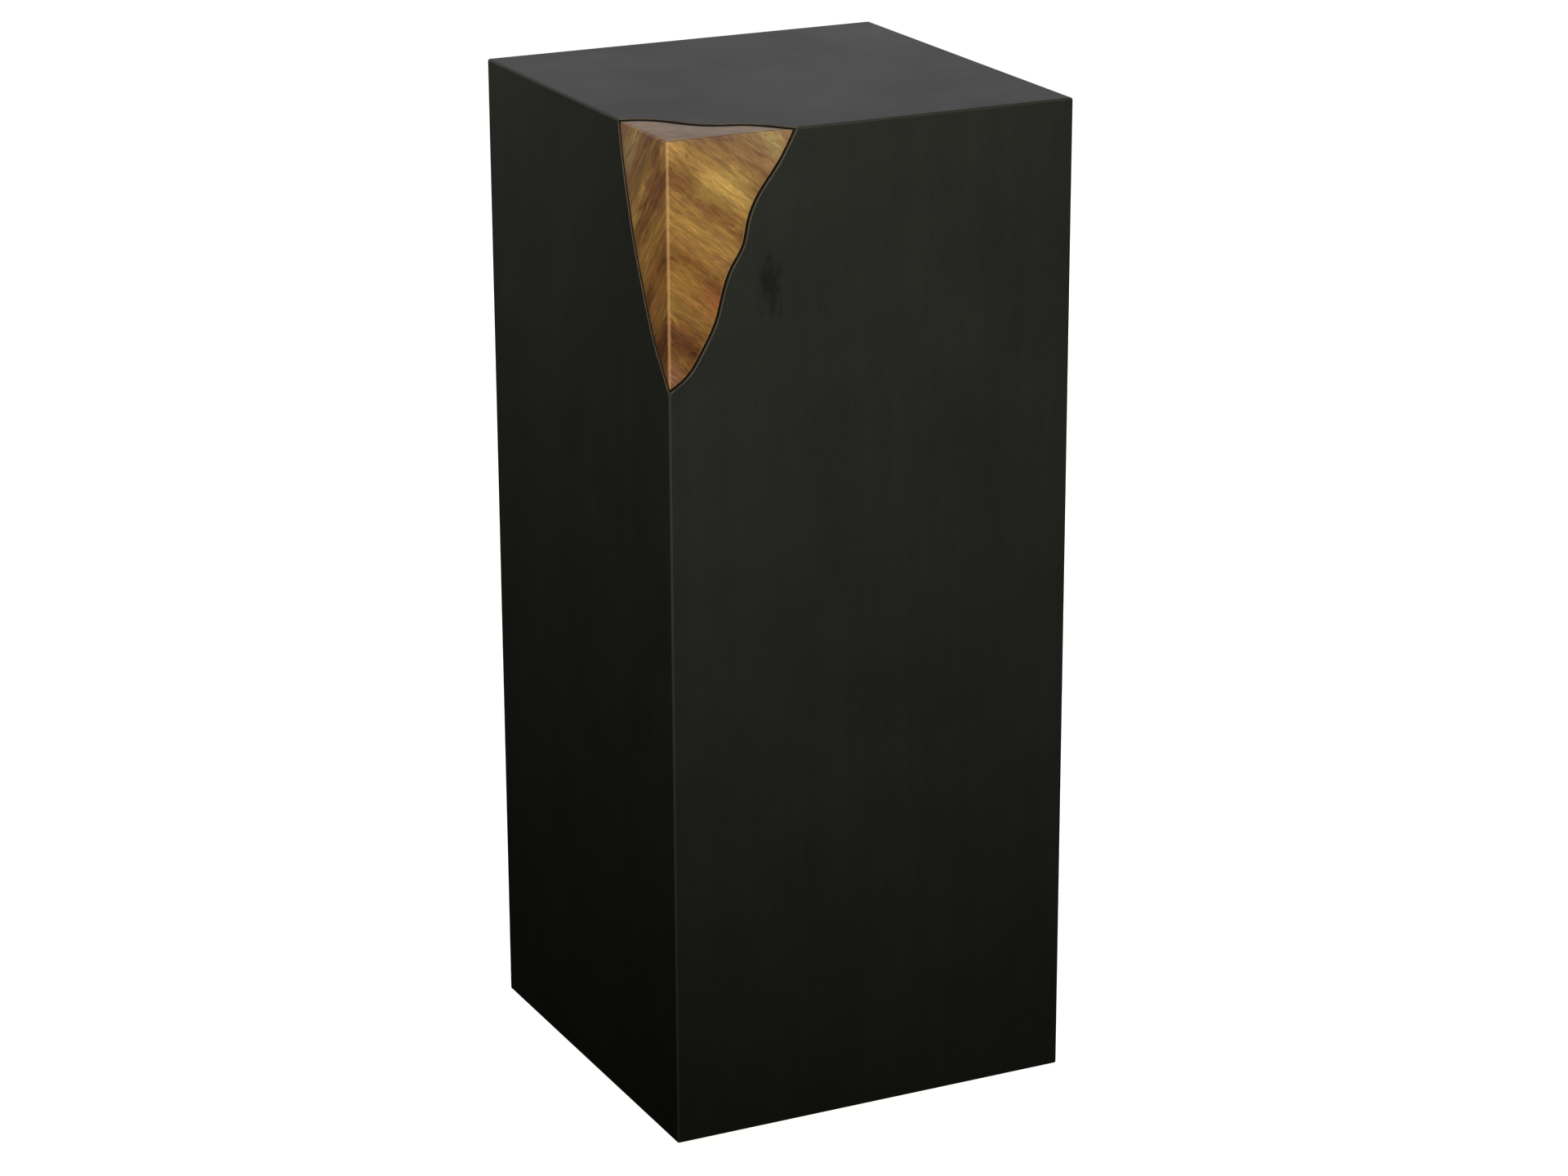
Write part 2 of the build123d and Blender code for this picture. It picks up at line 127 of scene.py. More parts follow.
def blackStainedWood(grain, faceAxis):
    material, tree, place = newMaterial("black_stained_wood_" + grain + faceAxis)
    clouds = addNode(tree, "TexNoise", None, {"Vector": place, "Scale": 1 / stain["cloud"], **stain["cloudNoise"]})
    along = addNode(tree, "Mapping", None, {"Vector": place, "Scale": grainScale(grain, *stain["streak"])})
    streaks = addNode(tree, "TexNoise", None, {"Vector": along, "Scale": 1.0, **stain["streakNoise"]})
    thin = addNode(tree, "Mapping", None, {"Vector": place, "Scale": grainScale(grain, *stain["pore"])})
    pores = addNode(tree, "TexNoise", None, {"Vector": thin, "Scale": 1.0, "Detail": 2.0})
    pores = addNode(tree, "MapRange", None, {"Value": pores, **stain["poreFrom"]})
    shade = addNode(tree, "MapRange", None, {"Value": pores, "To Min": 1.0, "To Max": stain["pores"]})
    for pattern, swing in ((clouds, stain["clouds"]), (streaks, stain["streaks"])):
        tone = addNode(tree, "MapRange", None,
                       {"Value": pattern, **noiseSpread, "To Min": 1 - swing, "To Max": 1 + swing})
        shade = addNode(tree, "Math", {"operation": "MULTIPLY"}, {0: shade, 1: tone})
    if faceAxis == "Y":  # one small knot shows through the stain beside the wood block
        near = addNode(tree, "Mapping", {"vector_type": "TEXTURE"},
                       {"Vector": place, "Location": stain["knot"], "Scale": stain["knotSize"]})
        ragged = addNode(tree, "TexNoise", None, {"Vector": near, **stain["knotNoise"]})
        ragged = addNode(tree, "MapRange", None,
                         {"Value": ragged, "To Min": -stain["knotRagged"], "To Max": stain["knotRagged"]})
        distance = addNode(tree, "VectorMath", {"operation": "LENGTH"}, {0: near})
        distance = addNode(tree, "Math", {"operation": "ADD"}, {0: distance, 1: ragged})
        knot = addNode(tree, "MapRange", None,
                       {"Value": distance, **stain["knotEdge"], "To Min": stain["knotDark"], "To Max": 1.0})
        shade = addNode(tree, "Math", {"operation": "MULTIPLY"}, {0: shade, 1: knot})
    # rounded edges lean away from the board's own face and are painted paler in patches, a painted highlight;
    # edges that stand square to it are coloured dark. Only the lip of the curved cut round the wood block leans on
    # all three axes: it is dark but for a thin painted highlight at the face, tinted like unstained wood
    geometry = addNode(tree, "NewGeometry")
    size = addNode(tree, "VectorMath", {"operation": "ABSOLUTE"}, {0: geometry.outputs["Normal"]})
    facing = addNode(tree, "SeparateXYZ", None, {"Vector": size})
    lean = facing.outputs[faceAxis]
    first, second = (facing.outputs[axis] for axis in "XYZ".replace(faceAxis, ""))
    least = addNode(tree, "Math", {"operation": "MINIMUM"}, {0: first, 1: second})
    curved = addNode(tree, "MapRange", None, {"Value": least, **stain["curved"]})
    spot = addNode(tree, "VectorMath", {"operation": "ABSOLUTE"}, {0: place})
    spot = addNode(tree, "SeparateXYZ", None, {"Vector": spot})
    lineEnd = stain["faceAt"][faceAxis] - stain["line"]
    deep = addNode(tree, "MapRange", None,
                   {"Value": spot.outputs[faceAxis], "From Min": lineEnd - stain["lineBlur"],
                    "From Max": lineEnd + stain["lineBlur"], "To Min": 1.0, "To Max": 0.0})
    deep = addNode(tree, "Math", {"operation": "MULTIPLY"}, {0: deep, 1: curved})
    offFace = addNode(tree, "MapRange", None, {"Value": lean, **stain["offFace"]})
    square = addNode(tree, "MapRange", None, {"Value": lean, **stain["square"]})
    # the square edges and the deep part of the cut's lip are coloured dark
    darkEdge = addNode(tree, "Math", {"operation": "MAXIMUM"}, {0: square, 1: deep})
    patchy = addNode(tree, "MapRange", None, {"Value": streaks, **stain["highlightPatches"]})
    # the paler colour along rounded edges, in patches, is a painted highlight
    edgeHighlight = addNode(tree, "Math", {"operation": "MULTIPLY"}, {0: offFace, 1: patchy})
    # the colour of the painted highlight: darker on rounded edges, lighter and unstained-looking on the cut's lip
    highlightColour = addNode(tree, "Mix", mixColour,
                   {mixBy: curved, mixFrom: hexColour(stain["edgeHighlight"]), mixTo: hexColour(stain["lipHighlight"])})
    colour = addNode(tree, "Mix", multiplyColour, {mixBy: 1.0, mixFrom: hexColour(stain["colour"]), mixTo: shade})
    colour = addNode(tree, "Mix", mixColour, {mixBy: edgeHighlight, mixFrom: colour, mixTo: highlightColour})
    colour = addNode(tree, "Mix", mixColour, {mixBy: darkEdge, mixFrom: colour, mixTo: hexColour(stain["darkEdge"])})
    low, high = stain["roughness"]
    rough = addNode(tree, "MapRange", None, {"Value": clouds, **noiseSpread, "To Min": low, "To Max": high})
    bump = addNode(tree, "Bump", {"invert": True},
                   {"Height": pores, "Strength": stain["poreBump"], "Distance": stain["poreDepth"] * mm})
    bump = addNode(tree, "Bump", None, {"Height": streaks, "Normal": bump, "Strength": stain["streakBump"],
                                        "Distance": stain["streakDepth"] * mm})
    shader = addNode(tree, "BsdfPrincipled", None,
                     {"Base Color": colour, "Roughness": rough, "Normal": bump, "IOR": stain["ior"]})
    addNode(tree, "OutputMaterial", None, {"Surface": shader})
    return material


# oiled acacia, planed and sanded: honey brown with tilted growth layers, yellow and purple-brown patches,
# fine fibres, short dark pores along them and a soft satin gloss. Sizes are in millimetres, and those of a
# pattern run along the layers, across them and through them
acacia = {
    "layerNormal": (0.4696, 0.6667, 0.5797),  # the growth layers' upward normal
    "corner": (-170, -170, 803),  # where the layers are counted from
    "bands": [  # the height above the corner's own layer, and the colour there
        (-105, "8f6144"), (-96, "7a5125"), (-86, "56300f"), (-78, "71441d"), (-70, "856127"), (-60, "92642c"),
        (-54, "835622"), (-49, "693e14"), (-43, "91662f"), (-30, "a27b3a"), (-20, "8d6632"), (-14, "794f25"),
        (-6, "9f7b3d"), (0, "b68f4c"), (7, "916e3a"), (20, "82613c"), (28, "96744d"), (36, "a28c58"), (48, "926e4c"),
        (75, "8a6b49"),
    ],
    "strength": 0.91,
    "wander": 60, "stray": 4.5, "wanderSpread": {"From Min": 0.25, "From Max": 0.75},  # how the layers wave
    "sizes": {"patch": (32, 16, 5.5), "streak": (60, 18, 2.2), "fibre": (24, 5, 0.7), "pore": (5, 1.2, 0.35)},
    "noises": {"patch": {"Detail": 3.0, "Distortion": 0.8}, "streak": {"Detail": 3.0, "Distortion": 0.35},
               "fibre": {"Detail": 4.0, "Distortion": 0.3}, "pore": {"Detail": 1.0, "Distortion": 0.0}},
    "patches": 0.4,
    "tints": [("a07d38", {"From Min": 0.52, "From Max": 0.7}), ("744a35", {"From Min": 0.48, "From Max": 0.3})],
    "streaks": 0.33, "fibres": 0.24, "pores": 0.6, "poreFrom": {"From Min": 0.64, "From Max": 0.74},
    "fibreBump": 0.35, "fibreDepth": 0.08, "poreBump": 0.5, "poreDepth": 0.06,
    # the paler colour on the upright arris, its share and its spread are a painted highlight
    "arrisHighlight": "b98f5a", "arrisHighlightShare": 0.5, "arrisHighlightFrom": {"From Min": 0.08, "From Max": 0.4},
    "roughness": (0.45, 0.6), "ior": 1.48, "cut": "1d160d",
    "figures": [  # the place across, back and up from the corner, the size each way, and the colour there
        ((44, 0, -36), (22, 14, 13), "b9954c"), ((1, 25, -34), (9, 17, 24), "68352a"),
        ((12, 0, -104), (16, 10, 14), "926e2d"), ((40, 0, -128), (10, 8, 16), "93592f"),
        ((14, 0, -24), (14, 8, 16), "6f4822"), ((1, 19, -114), (8, 13, 26), "9c6b37"),
        ((1, 45, -62), (8, 12, 17), "654022"), ((1, 18, -17), (8, 9, 12), "70432a"),
        ((48, 38, 0), (66, 58, 5), "67463b"),
    ],
    "figureRagged": 1.3, "figureEdge": {"From Min": 0.3, "From Max": 1.3, "To Min": 0.6, "To Max": 0.0},
}


def oiledAcacia():
    material, tree, place = newMaterial("oiled_acacia")
    centred = addNode(tree, "VectorMath", {"operation": "SUBTRACT"}, {0: place, 1: acacia["corner"]})
    height = addNode(tree, "VectorMath", {"operation": "DOT_PRODUCT"}, {0: centred, 1: acacia["layerNormal"]})
    warp = addNode(tree, "TexNoise", None, {"Vector": place, "Scale": 1 / acacia["wander"], "Detail": 3.0})
    warp = addNode(tree, "MapRange", None, {"Value": warp, **acacia["wanderSpread"], "To Min": -acacia["stray"],
                                            "To Max": acacia["stray"]})
    layer = addNode(tree, "Math", {"operation": "ADD"}, {0: height, 1: warp})
    first, last = acacia["bands"][0][0], acacia["bands"][-1][0]
    layer = addNode(tree, "MapRange", None, {"Value": layer, "From Min": first, "From Max": last})
    colour = addNode(tree, "ValToRGB", None, {"Fac": layer})
    fillRamp(colour, [((at - first) / (last - first), hexColour(c, acacia["strength"])) for at, c in acacia["bands"]])
    # the layers laid flat: the place swung about Z and then tipped about Y, so that Z runs through the layers
    normal = Vector(acacia["layerNormal"])
    swing, tip = math.atan2(normal.y, normal.x), math.acos(normal.z / normal.length)
    swung = addNode(tree, "Mapping", None, {"Vector": place, "Rotation": (0, 0, -swing)})
    tipped = addNode(tree, "Mapping", None, {"Vector": swung, "Rotation": (0, -tip, 0)})
    noises = {}
    for name, settings in acacia["noises"].items():
        scale = tuple(1 / size for size in acacia["sizes"][name])
        stretched = addNode(tree, "Mapping", None, {"Vector": tipped, "Scale": scale})
        noises[name] = addNode(tree, "TexNoise", None,
                               {"Vector": stretched, "Scale": 1.0, "Roughness": 0.6, **settings})
    for tint, spread in acacia["tints"]:
        amount = addNode(tree, "MapRange", None, {"Value": noises["patch"], **spread, "To Max": acacia["patches"]})
        colour = addNode(tree, "Mix", mixColour, {mixBy: amount, mixFrom: colour, mixTo: hexColour(tint)})
    ragged = addNode(tree, "MapRange", None,
                     {"Value": noises["patch"], "To Min": -acacia["figureRagged"], "To Max": acacia["figureRagged"]})
    for middle, size, tint in acacia["figures"]:
        near = addNode(tree, "Mapping", {"vector_type": "TEXTURE"},
                       {"Vector": centred, "Location": middle, "Scale": size})
        distance = addNode(tree, "VectorMath", {"operation": "LENGTH"}, {0: near})
        distance = addNode(tree, "Math", {"operation": "ADD"}, {0: distance, 1: ragged})
        amount = addNode(tree, "MapRange", None, {"Value": distance, **acacia["figureEdge"]})
        colour = addNode(tree, "Mix", mixColour, {mixBy: amount, mixFrom: colour, mixTo: hexColour(tint)})
    pores = addNode(tree, "MapRange", None, {"Value": noises["pore"], **acacia["poreFrom"]})
    streaks, fibres = acacia["streaks"], acacia["fibres"]
    for links in ({"Value": noises["streak"], **noiseSpread, "To Min": 1 - streaks, "To Max": 1 + streaks},
                  {"Value": noises["fibre"], **noiseSpread, "To Min": 1 - fibres, "To Max": 1 + fibres},
                  {"Value": pores, "To Min": 1.0, "To Max": acacia["pores"]}):
        shade = addNode(tree, "MapRange", None, links)
        colour = addNode(tree, "Mix", multiplyColour, {mixBy: 1.0, mixFrom: colour, mixTo: shade})
    # the upright arris, where the normal leans both ways, is painted paler: a painted highlight where it catches the
    # light
    geometry = addNode(tree, "NewGeometry")
    size = addNode(tree, "VectorMath", {"operation": "ABSOLUTE"}, {0: geometry.outputs["Normal"]})
    split = addNode(tree, "SeparateXYZ", None, {"Vector": size})
    both = addNode(tree, "Math", {"operation": "MULTIPLY"}, {0: split.outputs["X"], 1: split.outputs["Y"]})
    arrisHighlight = addNode(tree, "MapRange", None, {"Value": both, **acacia["arrisHighlightFrom"], "To Max": acacia["arrisHighlightShare"]})
    colour = addNode(tree, "Mix", mixColour, {mixBy: arrisHighlight, mixFrom: colour, mixTo: hexColour(acacia["arrisHighlight"])})
    # the cut edge that faces the boards, its lip and wall, is coloured dark
    cut = addNode(tree, "Attribute", {"attribute_name": "cut"})
    colour = addNode(tree, "Mix", mixColour,
                     {mixBy: cut.outputs["Fac"], mixFrom: colour, mixTo: hexColour(acacia["cut"])})
    low, high = acacia["roughness"]
    rough = addNode(tree, "MapRange", None, {"Value": noises["fibre"], **noiseSpread, "To Min": low, "To Max": high})
    bump = addNode(tree, "Bump", None, {"Height": noises["fibre"], "Strength": acacia["fibreBump"],
                                        "Distance": acacia["fibreDepth"] * mm})
    bump = addNode(tree, "Bump", {"invert": True}, {"Height": pores, "Normal": bump, "Strength": acacia["poreBump"],
                                                    "Distance": acacia["poreDepth"] * mm})
    shader = addNode(tree, "BsdfPrincipled", None,
                     {"Base Color": colour, "Roughness": rough, "Normal": bump, "IOR": acacia["ior"]})
    addNode(tree, "OutputMaterial", None, {"Surface": shader})
    return material


# sanded birch plywood: pale creamy faces with faint long grain, and edges striped by thin glued plies
birch = {
    "face": "c9a878", "dark": "9c7448", "glue": "6b4a2c", "ply": 1.5, "roughness": 0.62, "ior": 1.45,
    "grain": (3, 110), "grainNoise": {"Detail": 6.0, "Roughness": 0.6, "Distortion": 0.4},
    "grainBump": 0.3, "grainDepth": 0.1,
    "faint": {"From Min": 0.4, "From Max": 0.75, "To Max": 0.55},  # how far the grain darkens a face
    "stripe": {"From Min": 0.48, "From Max": 0.52}, "glueLine": {"From Min": 0.44, "From Max": 0.49},
    "onEdge": {"From Min": 0.3, "From Max": 0.7, "To Min": 1.0, "To Max": 0.0},
}


def birchPlywood(faceAxis):
    material, tree, place = newMaterial("birch_plywood_" + faceAxis)
    split = addNode(tree, "SeparateXYZ", None, {"Vector": place})
    longAxis = "Y" if faceAxis == "X" else "X"
    along = addNode(tree, "Mapping", None, {"Vector": place, "Scale": grainScale(longAxis, *birch["grain"])})
    grain = addNode(tree, "TexNoise", None, {"Vector": along, "Scale": 1.0, **birch["grainNoise"]})
    # plies are counted through the board: every second one shows its dark end grain, with a glue line between
    plies = addNode(tree, "Math", {"operation": "DIVIDE"}, {0: split.outputs[faceAxis], 1: birch["ply"]})
    pairs = addNode(tree, "Math", {"operation": "MULTIPLY"}, {0: plies, 1: 0.5})
    pairs = addNode(tree, "Math", {"operation": "FRACT"}, {0: pairs})
    stripe = addNode(tree, "MapRange", None, {"Value": pairs, **birch["stripe"]})
    inPly = addNode(tree, "Math", {"operation": "FRACT"}, {0: plies})
    inPly = addNode(tree, "Math", {"operation": "SUBTRACT"}, {0: inPly, 1: 0.5})
    inPly = addNode(tree, "Math", {"operation": "ABSOLUTE"}, {0: inPly})
    glue = addNode(tree, "MapRange", None, {"Value": inPly, **birch["glueLine"]})
    # the edge shows where the surface doesn't face along the plies' normal
    geometry = addNode(tree, "NewGeometry")
    facing = addNode(tree, "SeparateXYZ", None, {"Vector": geometry.outputs["Normal"]})
    lean = addNode(tree, "Math", {"operation": "ABSOLUTE"}, {0: facing.outputs[faceAxis]})
    onEdge = addNode(tree, "MapRange", None, {"Value": lean, **birch["onEdge"]})
    faint = addNode(tree, "MapRange", None, {"Value": grain, **birch["faint"]})
    pale, dark = hexColour(birch["face"]), hexColour(birch["dark"])
    face = addNode(tree, "Mix", mixColour, {mixBy: faint, mixFrom: pale, mixTo: dark})
    edge = addNode(tree, "Mix", mixColour, {mixBy: stripe, mixFrom: pale, mixTo: dark})
    edge = addNode(tree, "Mix", mixColour, {mixBy: glue, mixFrom: edge, mixTo: hexColour(birch["glue"])})
    colour = addNode(tree, "Mix", mixColour, {mixBy: onEdge, mixFrom: face, mixTo: edge})
    bump = addNode(tree, "Bump", None,
                   {"Height": grain, "Strength": birch["grainBump"], "Distance": birch["grainDepth"] * mm})
    shader = addNode(tree, "BsdfPrincipled", None,
                     {"Base Color": colour, "Normal": bump, "IOR": birch["ior"], "Roughness": birch["roughness"]})
    addNode(tree, "OutputMaterial", None, {"Surface": shader})
    return material


# planed pine: yellow-white early wood and orange late wood in rings, quite dull
pine = {
    "early": "d9b77e", "late": "b07a41", "ring": 3.5, "waveRings": 3.2,  # a wave texture makes 3.2 rings to a unit
    "straight": 30, "pith": (31, 57, 44), "ringNoise": {"Distortion": 3.0, "Detail": 3.0, "Detail Scale": 0.4},
    "lateFrom": {"From Min": 0.45, "From Max": 0.95}, "lateBump": 0.25, "lateDepth": 0.1,
    "roughness": 0.58, "ior": 1.45,
}


def planedPine(grain):
    material, tree, place = newMaterial("planed_pine_" + grain)
    along = addNode(tree, "Mapping", None,
                    {"Vector": place, "Scale": grainScale(grain, 1, pine["straight"]), "Location": pine["pith"]})
    rings = addNode(tree, "TexWave", {"wave_type": "RINGS", "rings_direction": grain},
                    {"Vector": along, "Scale": 1 / pine["ring"] / pine["waveRings"], **pine["ringNoise"]})
    late = addNode(tree, "MapRange", None, {"Value": rings.outputs["Fac"], **pine["lateFrom"]})
    colour = addNode(tree, "Mix", mixColour,
                     {mixBy: late, mixFrom: hexColour(pine["early"]), mixTo: hexColour(pine["late"])})
    bump = addNode(tree, "Bump", None,
                   {"Height": late, "Strength": pine["lateBump"], "Distance": pine["lateDepth"] * mm})
    shader = addNode(tree, "BsdfPrincipled", None,
                     {"Base Color": colour, "Normal": bump, "IOR": pine["ior"], "Roughness": pine["roughness"]})
    addNode(tree, "OutputMaterial", None, {"Surface": shader})
    return material


# bright zinc plating on turned steel: cool grey metal, slightly clouded, with fine turning marks
zinc = {
    "colour": "c3c6c8", "dull": "9ea3a6", "cloud": 4, "dullFrom": {"From Min": 0.35, "From Max": 0.65},
    "mark": (3, 3, 0.25), "markBump": 0.25, "markDepth": 0.03, "roughness": (0.28, 0.46),
}


def zincPlatedSteel():
    material, tree, place = newMaterial("zinc_plated_steel")
    clouds = addNode(tree, "TexNoise", None, {"Vector": place, "Scale": 1 / zinc["cloud"], "Detail": 4.0})
    flat = addNode(tree, "Mapping", None, {"Vector": place, "Scale": tuple(1 / size for size in zinc["mark"])})
    marks = addNode(tree, "TexNoise", None, {"Vector": flat, "Scale": 1.0, "Detail": 2.0})
    low, high = zinc["roughness"]
    dull = addNode(tree, "MapRange", None, {"Value": clouds, **zinc["dullFrom"]})
    rough = addNode(tree, "MapRange", None, {"Value": clouds, **noiseSpread, "To Min": low, "To Max": high})
    colour = addNode(tree, "Mix", mixColour,
                     {mixBy: dull, mixFrom: hexColour(zinc["colour"]), mixTo: hexColour(zinc["dull"])})
    bump = addNode(tree, "Bump", None,
                   {"Height": marks, "Strength": zinc["markBump"], "Distance": zinc["markDepth"] * mm})
    shader = addNode(tree, "BsdfPrincipled", None,
                     {"Base Color": colour, "Roughness": rough, "Normal": bump, "Metallic": 1.0})
    addNode(tree, "OutputMaterial", None, {"Surface": shader})
    return material


# moulded black nylon: deep grey-black with a fine spark-eroded skin that scatters the light
nylon = {
    "colour": "1b1b1c", "worn": "2b2b2c", "patch": 8, "wornFrom": {"From Min": 0.4, "From Max": 0.7, "To Max": 0.7},
    "skin": 0.6, "skinBump": 0.3, "skinDepth": 0.04, "roughness": (0.42, 0.56), "ior": 1.53,
}


def mouldedNylon():
    material, tree, place = newMaterial("moulded_nylon")
    skin = addNode(tree, "TexNoise", None, {"Vector": place, "Scale": 1 / nylon["skin"], "Detail": 2.0})
    patches = addNode(tree, "TexNoise", None, {"Vector": place, "Scale": 1 / nylon["patch"], "Detail": 3.0})
    low, high = nylon["roughness"]
    worn = addNode(tree, "MapRange", None, {"Value": patches, **nylon["wornFrom"]})
    rough = addNode(tree, "MapRange", None, {"Value": patches, **noiseSpread, "To Min": low, "To Max": high})
    colour = addNode(tree, "Mix", mixColour,
                     {mixBy: worn, mixFrom: hexColour(nylon["colour"]), mixTo: hexColour(nylon["worn"])})
    bump = addNode(tree, "Bump", None,
                   {"Height": skin, "Strength": nylon["skinBump"], "Distance": nylon["skinDepth"] * mm})
    shader = addNode(tree, "BsdfPrincipled", None,
                     {"Base Color": colour, "Roughness": rough, "Normal": bump, "IOR": nylon["ior"]})
    addNode(tree, "OutputMaterial", None, {"Surface": shader})
    return material


# the wood corner block, counted from the casing's sharp corner: across the front, back along the left side, down
block = {
    "reach": (105.0, 85.0, 189.0), "corner": (-170.0, -170.0, 803.0),
    "frontLine": [(1, 0), (0.86, 0.135), (0.695, 0.26), (0.617, 0.37), (0.59, 0.44), (0.5, 0.525), (0.43, 0.62),
                  (0.365, 0.745), (0.27, 0.845), (0.135, 0.95), (0, 1)],
    "leftLine": [(1, 0), (0.92, 0.155), (0.82, 0.31), (0.7, 0.47), (0.53, 0.635), (0.33, 0.81), (0, 1)],
    "topLine": [(1, 0), (0.895, 0.17), (0.76, 0.33), (0.495, 0.475), (0.38, 0.625), (0.28, 0.8), (0.16, 0.93),
                (0, 1)],
    "halfGap": 0.7, "lip": 0.6, "arris": 2.2, "board": 20.0,
    "core": (40.0, 34.0, 110.0),  # how far the block reaches behind its own boards
    "pillow": (0.4, 0.4, 1.9), "pillowWidth": 9.0,  # how far front, side and top fall to the cut, and how wide
    "sanding": 0.12, "waves": (9.1, 12.3, 7.7, 17.9), "wavePhase": 0.7,  # depth and spacing of the sanded waves
    "perFace": 140, "blend": 41, "skinRows": 72, "skinSpread": 1.4, "lipRows": 7, "wallRows": 8, "backRows": 5,
    "cutStart": 0.3, "cutRise": 2,  # the dark colour starts this share into the lip, and how steeply it comes in
    "sharpAngle": 40, "leastCosineSquared": 0.2,
}


def smoothLine(points, count):
    # natural cubic spline through the points against chord length: second slopes come from a tridiagonal system.
    # samples crowd at both ends, as the cosine of an even angle
    points = np.asarray(points, float)
    knots = np.concatenate([[0], np.cumsum(np.linalg.norm(np.diff(points, axis=0), axis=1))])
    gaps = np.diff(knots)
    system, right = np.eye(len(points)), np.zeros_like(points)
    inner = np.arange(1, len(points) - 1)
    system[inner, inner - 1], system[inner, inner + 1] = gaps[:-1], gaps[1:]
    system[inner, inner] = 2 * (gaps[:-1] + gaps[1:])
    slopes = np.diff(points, axis=0) / gaps[:, None]
    right[inner] = 6 * np.diff(slopes, axis=0)
    bend = np.linalg.solve(system, right)
    at = knots[-1] * (1 - np.cos(np.pi * np.arange(count) / count)) / 2
    k = np.clip(np.searchsorted(knots, at, side="right") - 1, 0, len(gaps) - 1)
    before, after, gap = (at - knots[k])[:, None], (knots[k + 1] - at)[:, None], gaps[k][:, None]
    return (bend[k] * after ** 3 + bend[k + 1] * before ** 3) / (6 * gap) \
        + (points[k] / gap - bend[k] * gap / 6) * after + (points[k + 1] / gap - bend[k + 1] * gap / 6) * before


def blockOutline():
    # the closed loop of the cut round the corner: down the front, up the left side, across the top.
    # it also gives, for each point, the cosine between the ray from the corner and the line's own normal
    across, back, drop = block["reach"]
    count = block["perFace"]
    lines = [(block["frontLine"], across, drop, (0, 2)), (block["leftLine"][::-1], back, drop, (1, 2)),
             (block["topLine"][::-1], across, back, (0, 1))]
    loop = []
    for line, wide, tall, axes in lines:
        flat = smoothLine([(a * wide, b * tall) for a, b in line], count)
        points = np.zeros((count, 3))
        points[:, axes] = flat
        loop.append(points)
    loop = np.concatenate(loop)
    run = np.roll(loop, -1, axis=0) - np.roll(loop, 1, axis=0)
    run /= np.linalg.norm(run, axis=1)[:, None]
    ray = loop / np.linalg.norm(loop, axis=1)[:, None]
    cosine = np.sqrt(np.clip(1 - (run * ray).sum(axis=1) ** 2, block["leastCosineSquared"], 1))
    return loop, cosine


def roundedBox(points, depth):
    # the box shrunk by depth, with rounded edges: a point near one is pulled to the radius about the inner corner
    tiny = 1e-6
    radius = np.maximum(block["arris"] - depth, tiny)
    limit = depth + radius
    inner = np.maximum(points, limit)
    away = points - inner
    length = np.linalg.norm(away, axis=-1, keepdims=True)
    return np.where(length > tiny, inner + radius * away / np.maximum(length, tiny), points)


